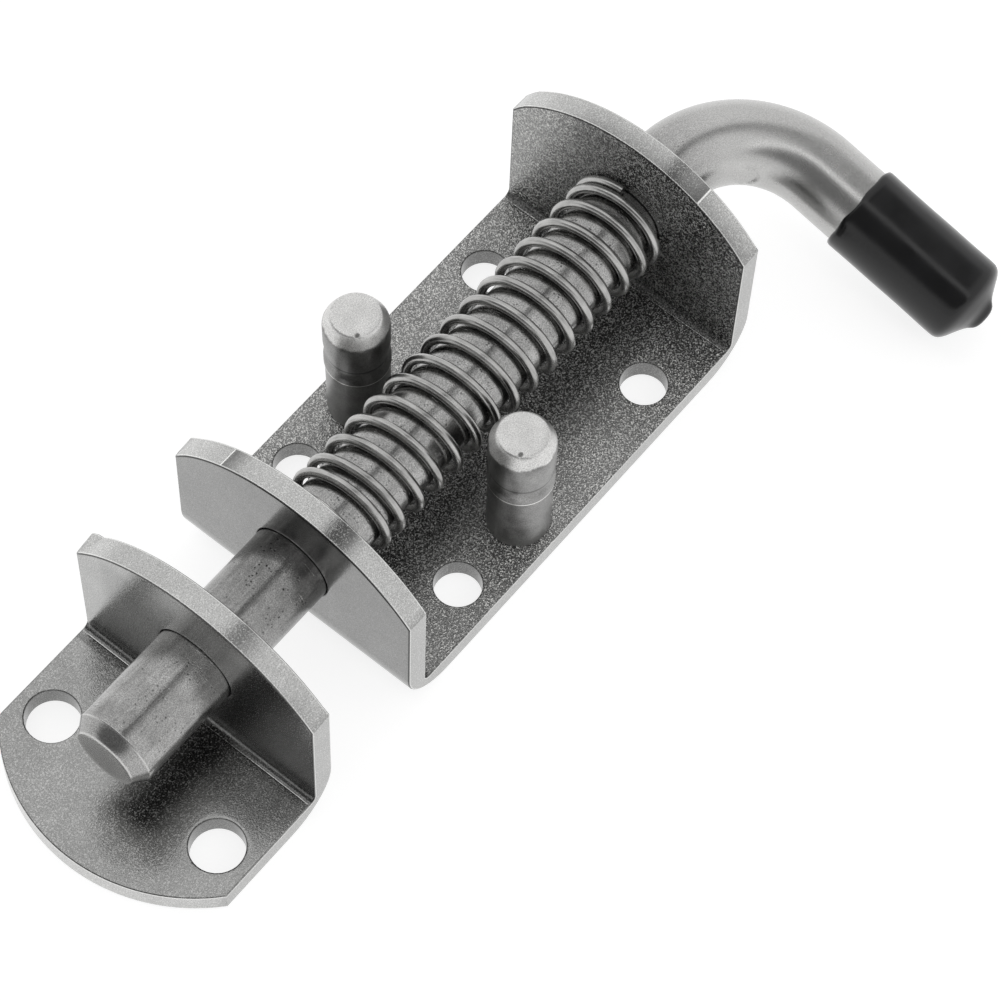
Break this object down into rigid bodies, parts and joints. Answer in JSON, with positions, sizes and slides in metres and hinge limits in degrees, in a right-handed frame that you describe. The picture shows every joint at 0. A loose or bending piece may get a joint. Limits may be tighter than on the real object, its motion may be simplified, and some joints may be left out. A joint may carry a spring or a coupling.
{
  "type": "spring loaded gate latch",
  "caption": "Spring loaded gate latch: a round bolt with a bent, gripped handle slides through a folded two-eared bracket into a matching keeper.",
  "frame": {"origin": "centre of the bracket's four screw holes, on the surface that the latch is screwed to", "axes": "+X along the bolt towards the keeper, +Y towards the side that the handle hangs on, +Z away from the mounting surface"},
  "size_m": [0.1917, 0.0853, 0.0448],
  "materials": {
    "plate_steel": "tumbled grey steel, fine grain, satin",
    "turned_steel": "turned steel, satin, pale top faces",
    "bar_steel": "drawn round bar, satin with small pits and scratches",
    "spring_steel": "bright drawn wire",
    "grip_vinyl": "dipped black vinyl, glossy"
  },
  "bodies": {
    "root": {"base_bracket": "plate_steel", "keeper": "plate_steel", "left_post": "turned_steel", "right_post": "turned_steel", "spring": "spring_steel"},
    "spring_seat": {"spring_washer": "spring_steel"},
    "bolt": {"bolt": "bar_steel", "stop_pin": "bar_steel", "grip": "grip_vinyl"}
  },
  "joints": [
    {"name": "bolt_slide", "type": "slide", "parent": "root", "child": "spring_seat", "axis": [-1, 0, 0], "range_m": [0, 0.044], "stiffness_N_per_m": 1150, "springref_m": -0.018, "deforming": ["spring"]},
    {"name": "bolt_turn", "type": "hinge", "parent": "spring_seat", "child": "bolt", "pos_m": [0, 0, 0.0232], "axis": [1, 0, 0], "range_deg": [0, 209]}
  ]
}
